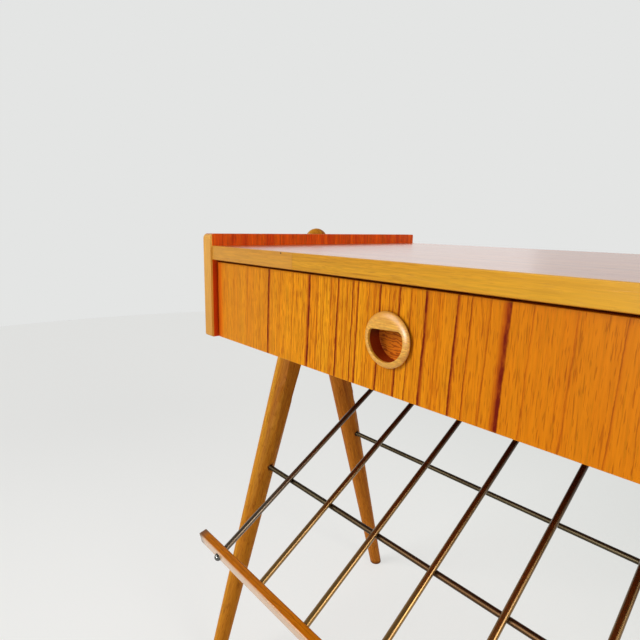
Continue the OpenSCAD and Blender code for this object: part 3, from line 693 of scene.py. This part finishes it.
# Drawer runners
# Hard beech strips screwed to the side panels. The drawer's sides hang on them by a groove.

grain_front_to_back = (math.radians(90), 0, 0)
for name in ("left_drawer_runner", "right_drawer_runner"):
    repaint(name, wood(
        name + "_beech", pale=colour(226, 188, 134), deep=colour(212, 166, 108),
        streak=colour(168, 116, 66), turn=grain_front_to_back, pith=(0.03, 0.05, 0),
        ring=0.004, streaks=0.2, pores=0.3, edges=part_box(name), gloss=0.4))


# Drawer front
# A board faced with teak veneer whose grain runs up and down, with dark mineral lines through
# it. Its ends take the half-blind dovetails of the drawer's sides and its face the pull.

def clean_copy(name):
    """A CAD node's mesh with its loose triangles merged to whole faces."""
    mesh = nodes[name].data.copy()
    kept = mesh.attributes.get("custom_normal")
    if kept:
        mesh.attributes.remove(kept)
    bm = bmesh.new()
    bm.from_mesh(mesh)
    bpy.data.meshes.remove(mesh)
    bmesh.ops.remove_doubles(bm, verts=bm.verts, dist=2e-6)
    bmesh.ops.dissolve_limit(bm, angle_limit=math.radians(0.5), verts=bm.verts, edges=bm.edges)
    return bm


def soften_box_edges(bm, low, high, amount, planes):
    """Rounds the edges of a node that lie on two of its box's planes, one of them in planes."""
    def on(v, axis, at):
        return abs(v.co[axis] - at) < 1e-5
    chosen = []
    for e in bm.edges:
        held = [(a, s) for a in range(3) for s, at in ((-1, low[a]), (1, high[a]))
                if all(on(v, a, at) for v in e.verts)]
        if len(held) == 2 and any(h in planes for h in held):
            chosen.append(e)
    round_over(bm, chosen, amount)


# Each line: its place across the front and its reach, both in mm, its strength, and the side
# (1 right, -1 left) on which the wood beside it is browned. Each row of lines has a ramp of its
# own, because one ramp is too coarse for the whole width.
mineral_marks = (
    ((-205, 1.0, 0.2, 1), (-180, 0.8, 0.25, -1), (-160, 0.7, 0.3, 1)),
    ((-145.5, 1.4, 1.0, 1), (-128, 0.5, 0.3, 1), (-110, 0.9, 0.3, -1), (-97, 0.5, 0.35, 1),
     (-88, 1.5, 1.0, -1), (-78, 0.5, 0.45, 1), (-70, 0.5, 0.5, -1)),
    ((-62, 0.45, 0.4, 1), (-54.5, 0.9, 1.0, 1), (-44, 0.5, 0.45, -1), (-38.5, 0.6, 0.8, 1),
     (-32.5, 0.7, 0.9, -1), (-22, 0.45, 0.5, 1), (-10.8, 0.85, 1.0, -1)),
    ((-3, 0.45, 0.35, 1), (6.5, 0.85, 1.0, -1), (15.5, 0.6, 0.6, 1), (27.5, 1.2, 1.0, 1),
     (38, 0.45, 0.4, -1), (50.8, 0.9, 1.0, 1), (60.5, 0.55, 0.6, 1)),
    ((73, 0.5, 0.5, -1), (84.6, 1.9, 1.0, -1), (98, 0.5, 0.35, 1), (121, 0.6, 0.4, -1),
     (143, 0.5, 0.4, 1), (171, 1.0, 0.8, 1), (203, 0.5, 0.4, -1)))
# A ramp goes on for this many mm past its outer lines, and all lines slant by this much.
ramp_margin, line_slant = 6, 0.028
front_low, front_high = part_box("drawer_front")
pull_low, pull_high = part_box("drawer_pull")
pull_middle, pull_radius = (pull_low + pull_high) / 2, (pull_high.x - pull_low.x) / 2


def mineral_lines(t, place, shade):
    """The veneer's dark lines and their brown flanks, wandering and slanting a little. Each is
    the peak of a ramp that has the dark line as its red and the flank as its green."""
    split = xyz(t, place)
    wander = stretched_noise(t, place, (9, 1, 13), 3.0, 0.6)
    tremble = stretched_noise(t, place, (150, 1, 120), 3.0, 0.7)
    x = calc(t, "ADD", split[0], calc(t, "MULTIPLY", calc(t, "SUBTRACT", wander, 0.5), 0.0036))
    x = calc(t, "ADD", x, calc(t, "MULTIPLY", calc(t, "SUBTRACT", tremble, 0.5), 0.0013))
    raised = calc(t, "SUBTRACT", split[2], (front_low.z + front_high.z) / 2)
    x = calc(t, "SUBTRACT", x, calc(t, "MULTIPLY", raised, line_slant))
    dark, brown = 0.0, 0.0
    for marks in mineral_marks:
        start = (marks[0][0] - ramp_margin) / 1000
        width = (marks[-1][0] + ramp_margin) / 1000 - start
        share = calc(t, "DIVIDE", calc(t, "SUBTRACT", x, start), width, clamp=True)
        ramp = node(t, "ValToRGB", {"Fac": share})
        stops = ramp.color_ramp
        stops.interpolation = "LINEAR"
        stops.elements[0].position, stops.elements[1].position = 0.0, 1.0
        stops.elements[0].color = stops.elements[1].color = (0, 0, 0, 1)
        # Each mark's stops, from its sharp side: bare wood, the line, its far edge, the flank's end.
        for middle, reach, strength, browned in marks:
            half = 0.85 * reach * browned
            for at, line, flank in ((middle - half, 0.0, 0.0), (middle, strength, strength),
                                    (middle + half, 0.35 * strength, strength),
                                    (middle + 3.4 * half, 0.0, 0.0)):
                stop = stops.elements.new((at / 1000 - start) / width)
                stop.color = (line, flank, 0, 1)
        found = xyz(t, ramp.outputs["Color"])
        dark = calc(t, "MAXIMUM", dark, found[0])
        brown = calc(t, "MAXIMUM", brown, found[1])
    faded = remap(t, stretched_noise(t, place, (240, 1, 75), 3.0, 0.7), 0.30, 0.58, 0.5, 1.0)
    dark = remap(t, dark, 0.06, 0.62)
    shade = blend(t, remap(t, split[0], -0.09, -0.19, 0.0, 0.35), shade, colour(212, 132, 40))
    right = remap(t, split[0], -0.06, 0.12, 0.0, 0.7)
    shade = blend(t, right, shade, colour(211, 113, 0), "DARKEN")
    shade = blend(t, calc(t, "MULTIPLY", brown, 0.7), shade, colour(180, 64, 0))
    return blend(t, calc(t, "MULTIPLY", dark, faded), shade, colour(112, 20, 0))


def front_marks(t, place, shade):
    """The mineral lines, a dark ring round the pull, most at its upper right, partly a glue
    line and partly painted shade, and ends painted redder for light bounced from the panels.
    """
    shade = mineral_lines(t, place, shade)
    off = vector(t, "SUBTRACT", place, pull_middle)
    off = vector(t, "MULTIPLY", off, (1, 0, 1))
    round_pull = remap(t, vector(t, "LENGTH", off), pull_radius + 0.0009, pull_radius)
    upper_right = vector(t, "DOT_PRODUCT", off, (0.6, 0, 0.8))
    # A dark ring round the pull: partly a glue line, partly painted contact shade.
    glue_line_and_shade = calc(t, "MULTIPLY", round_pull, remap(t, upper_right, -0.005, 0.012, 0.05, 0.25))
    shade = blend(t, glue_line_and_shade, shade, colour(104, 24, 0))
    split = xyz(t, place)
    from_end = calc(t, "SUBTRACT", front_high.x, calc(t, "ABSOLUTE", split[0]))
    on_face = remap(t, split[1], front_low.y + 0.0012, front_low.y + 0.0006, 0.0, 0.75)
    # Painted reflection: the front's ends are reddened for red light bounced off the side panels.
    painted_bounce = calc(t, "MULTIPLY", remap(t, from_end, 0.014, 0.001), on_face)
    return blend(t, painted_bounce, shade, colour(222, 82, 6))


bm = clean_copy("drawer_front")
soften_box_edges(bm, front_low, front_high, 0.0006, [(1, -1), (2, -1), (2, 1)])
drawer_front = settle(to_object("drawer_front_veneered", bm))
drawer_front.data.materials.clear()
drawer_front.data.materials.append(wood(
    "drawer_front_teak", pale=colour(232, 152, 18), deep=colour(218, 124, 6),
    streak=colour(156, 50, 0), shift=(0.37, 0.21, 0.11), pith=(0.0, 0.5, 0), bands=0.6,
    streaks=0.25, fibres=0.8, pores=0.45, dashes=0.6, edges=(front_low, front_high),
    edge_share=0.5, gloss=0.4, specular=0.06, extra=front_marks))
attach(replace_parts(drawer_front, "drawer_front"), "drawer")


# Drawer box
# Beech sides dovetailed into the front and grooved for the runners, a back housed between
# them, and a plywood bottom in grooves, screwed up into the back.

for name in ("drawer_left_side", "drawer_right_side"):
    low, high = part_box(name)
    bm = clean_copy(name)
    soften_box_edges(bm, low, high, 0.0006, [(2, 1), (2, -1)])
    box_side = settle(to_object(name + "_board", bm))
    box_side.data.materials.clear()
    box_side.data.materials.append(wood(
        name + "_beech", pale=colour(228, 194, 146), deep=colour(214, 172, 120),
        streak=colour(172, 122, 74), turn=grain_front_to_back, shift=(low.x, 0.3, 0.1),
        pith=(0.01, 0.10, 0), ring=0.006, bands=0.6, streaks=0.2, fibres=0.35, pores=0.35,
        edges=(low, high), gloss=0.5))
    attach(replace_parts(box_side, name), "drawer")
repaint("drawer_back", wood(
    "drawer_back_beech", pale=colour(226, 190, 142), deep=colour(210, 168, 116),
    streak=colour(168, 118, 70), turn=grain_across, shift=(0.6, 0.2, 0.4),
    pith=(0.10, 0.01, 0), ring=0.006, bands=0.6, streaks=0.2, fibres=0.35, pores=0.35,
    edges=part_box("drawer_back"), gloss=0.5))
repaint("drawer_bottom", wood(
    "drawer_bottom_plywood", pale=colour(222, 188, 138), deep=colour(204, 162, 106),
    streak=colour(160, 114, 68), turn=grain_across, shift=(0.2, 0.5, 0.8),
    pith=(0.01, 0.4, 0), ring=0.016, bands=0.8, streaks=0.25, fibres=0.3, pores=0.2,
    edges=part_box("drawer_bottom"), gloss=0.55))


# Drawer pull
# A ring turned from light teak, let into the drawer front. A lid covers the top third of its
# hollow, so that a finger hooks behind it. Its edges are sanded soft.

face_y = front_low.y
bm = clean_copy("drawer_pull")
inner_lip = [e for e in bm.edges if e.calc_face_angle(0) > math.radians(40)
             and all(abs(v.co.y - pull_low.y) < 1e-5 for v in e.verts)]
round_over(bm, inner_lip, 0.0016, segments=4)
bmesh.ops.triangulate(bm, faces=bm.faces)
pull = to_object("drawer_pull_turned", bm)
remesh = pull.modifiers.new("even", "REMESH")
remesh.mode = "VOXEL"
remesh.voxel_size = 0.0003
soften = pull.modifiers.new("sanded", "SMOOTH")
soften.factor = 0.5
soften.iterations = 8
to_plain_mesh(pull)
# Outside the circle of its crown the rim falls in a quarter ellipse to the drawer's face.
crown, fall = 0.0135, 0.00808
for v in pull.data.vertices:
    off = math.hypot(v.co.x - pull_middle.x, v.co.z - pull_middle.z) - crown
    if v.co.y < face_y and 0 < off < fall:
        v.co.y = max(v.co.y, face_y + (pull_low.y - face_y) * math.sqrt(1 - (off / fall) ** 2))
    for i in range(3):
        v.co[i] = min(max(v.co[i], pull_low[i]), pull_high[i])
for face in pull.data.polygons:
    face.use_smooth = True
pull.data.materials.clear()
# The hollow's floor lies this far behind the drawer's face.
hollow_depth = 0.0096


def pull_marks(t, place, shade):
    """A mottled rim, the hollow's wall painted dark as shade, darkest under the lid, and its
    red-brown floor with wavy grain, painted darker under the lid as shade.
    """
    split = xyz(t, place)
    depth = calc(t, "SUBTRACT", split[1], face_y)
    mottle = remap(t, stretched_noise(t, place, (240, 420, 620), 3.0, 0.65), 0.42, 0.66)
    shade = blend(t, calc(t, "MULTIPLY", mottle, 0.5), shade, colour(200, 118, 22))
    wave = calc(t, "MULTIPLY", stretched_noise(t, place, (90, 20, 260), 2.0, 0.6), 21)
    grain = calc(t, "SINE", calc(t, "ADD", calc(t, "MULTIPLY", split[2], 2300), wave))
    floor_shade = blend(t, remap(t, grain, 0.1, 0.9, 0.0, 0.75), colour(232, 128, 26),
                        colour(164, 62, 8))
    raised = calc(t, "SUBTRACT", split[2], pull_middle.z)
    # Painted shade on the floor of the hollow, under the lid.
    painted_lid_shade = remap(t, raised, 0.002, 0.008, 0.0, 0.6)
    floor_shade = blend(t, painted_lid_shade, floor_shade, colour(150, 36, 0))
    shade = blend(t, remap(t, raised, 0.010, 0.018, 0.0, 0.6), shade, colour(214, 140, 20))
    # Painted shade: the wall of the hollow is darkened, most under the lid.
    painted_wall_shade = calc(t, "MULTIPLY", remap(t, depth, -0.0036, -0.0010, 0.0, 0.9),
                   remap(t, depth, hollow_depth + 0.0003, hollow_depth + 0.0001))
    wall = blend(t, remap(t, raised, -0.004, 0.006), colour(150, 28, 4), colour(84, 6, 22))
    shade = blend(t, painted_wall_shade, shade, wall)
    return blend(t, remap(t, depth, hollow_depth - 0.0004, hollow_depth), shade, floor_shade)


pull_wood = wood(
    "pull_wood", pale=colour(236, 178, 62), deep=colour(220, 150, 38), streak=colour(158, 86, 14),
    turn=grain_across, shift=(0.4, 0.1, 0.3), pith=(0.02, 0.03, 0), ring=0.003,
    streaks=0.35, fibres=0.8, gloss=0.45, specular=0.05, coat_gloss=0.34, extra=pull_marks)
t = pull_wood.node_tree
proud = calc(t, "SUBTRACT", face_y, xyz(t, node(t, "TexCoord").outputs["Object"])[1])
t.links.new(remap(t, proud, 0.0, 0.003), t.nodes["Principled BSDF"].inputs["Coat Weight"])
pull.data.materials.append(pull_wood)
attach(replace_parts(pull, "drawer_pull"), "drawer")


# Floor, daylight and room
# A pale floor that fades into a pale room, lit by a large window at the front left.

floor_radius = 2.85
bm = bmesh.new()
bmesh.ops.create_circle(bm, cap_ends=True, segments=128, radius=floor_radius)
floor = to_object("floor", bm)
paint = bpy.data.materials.new("floor_paint")
paint.use_nodes = True
t = paint.node_tree
shader = t.nodes["Principled BSDF"]
shader.inputs["Base Color"].default_value = (0.83, 0.83, 0.815, 1)
shader.inputs["Roughness"].default_value = 0.8
shader.inputs["Specular IOR Level"].default_value = 0.2
place = node(t, "TexCoord").outputs["Object"]
split = xyz(t, place)
# Painted light: the floor's colour is lighter towards the front left.
shade = blend(t, remap(t, calc(t, "ADD", split[0], split[1]), 0.9, -0.7),
              colour(228, 230, 227), colour(241, 241, 239))
# Painted light: a pool of light brightens the floor round this place in front of the table.
painted_pool_middle = (0.2107, -0.40981, 0)
bright = remap(t, vector(t, "DISTANCE", place, painted_pool_middle), 1.6, 0.5, 0.98, 1.115)
glow = node(t, "Emission", {"Color": shade, "Strength": bright}).outputs[0]
seen = node(t, "LightPath").outputs
seen = calc(t, "ADD", seen["Is Camera Ray"], seen["Is Glossy Ray"], clamp=True)
mixed = node(t, "MixShader", {0: calc(t, "MULTIPLY", seen, 0.6), 1: shader.outputs[0],
                              2: glow}).outputs[0]
t.links.new(mixed, t.nodes["Material Output"].inputs[0])
floor.data.materials.append(paint)


def hang_light(name, kind, energy, towards, middle=(0, 0, 0), away=0.0, **settings):
    """A light that shines on the middle from this side and this far away."""
    light = bpy.data.lights.new(name, kind)
    light.energy = energy
    for key, value in settings.items():
        setattr(light, key, value)
    made = bpy.data.objects.new(name, light)
    scene.collection.objects.link(made)
    towards = Vector(towards).normalized()
    made.location = Vector(middle) + towards * away
    made.rotation_mode = "QUATERNION"
    made.rotation_quaternion = towards.to_track_quat("Z", "Y")
    return made


hang_light("window", "SUN", 1.85, (-0.38, -0.80, 0.46), angle=math.radians(34),
           color=(1.0, 0.98, 0.95))

# A second window on the right, turned along the rods, draws the highlight on each of them.
towards = Vector((0.90, -0.06, 0.43)).normalized()
strip = hang_light("strip", "AREA", 19, towards, shape="RECTANGLE", size=1.2, size_y=0.70,
                   color=(1.0, 0.97, 0.92))
along_rods = Vector((0, math.cos(rod_slope), math.sin(rod_slope)))
along = (along_rods - towards * along_rods.dot(towards)).normalized()
strip.matrix_world = Matrix.Translation(Vector((0, 0, 0.3)) + towards * 2.2) @ Matrix(
    (along.cross(towards), along, towards)).transposed().to_4x4()

# A lamp in front of the table is seen only as a soft shine on the wood.
lamp = hang_light("lamp", "AREA", 42, (0.12, -0.98, 0.13), (0, -0.15, 0.5), 2.0, shape="DISK",
                  size=0.7)
lamp.visible_diffuse = False

# Daylight from beyond the table skims the top and turns it pale.
skim = hang_light("skim", "AREA", 2.7, (-0.70, 0.68, 0.24), (0, 0, 0.55), 3.2,
                  shape="RECTANGLE", size=2.6, size_y=0.8)
skim.visible_diffuse = False
skim.visible_camera = False

room = bpy.data.worlds.new("room")
room.use_nodes = True
t = room.node_tree
t.nodes.clear()
seen = node(t, "LightPath").outputs
shown = calc(t, "ADD", seen["Is Camera Ray"], calc(t, "ADD", seen["Is Glossy Ray"],
                                                   seen["Is Transmission Ray"]), clamp=True)
lit = node(t, "Background", {"Color": (0.95, 0.98, 1.0, 1), "Strength": 0.42}).outputs[0]
up = xyz(t, node(t, "TexCoord").outputs["Generated"])[2]
overhead = calc(t, "MULTIPLY", seen["Is Glossy Ray"], remap(t, up, 0.35, 0.75, 0.0, 0.7))
wall = node(t, "Background", {"Color": colour(228, 229, 228),
                              "Strength": calc(t, "SUBTRACT", 1.0, overhead)}).outputs[0]
both = node(t, "MixShader", {0: shown, 1: lit, 2: wall}).outputs[0]
t.links.new(both, node(t, "OutputWorld").inputs[0])
scene.world = room

scene.view_settings.view_transform = "Standard"
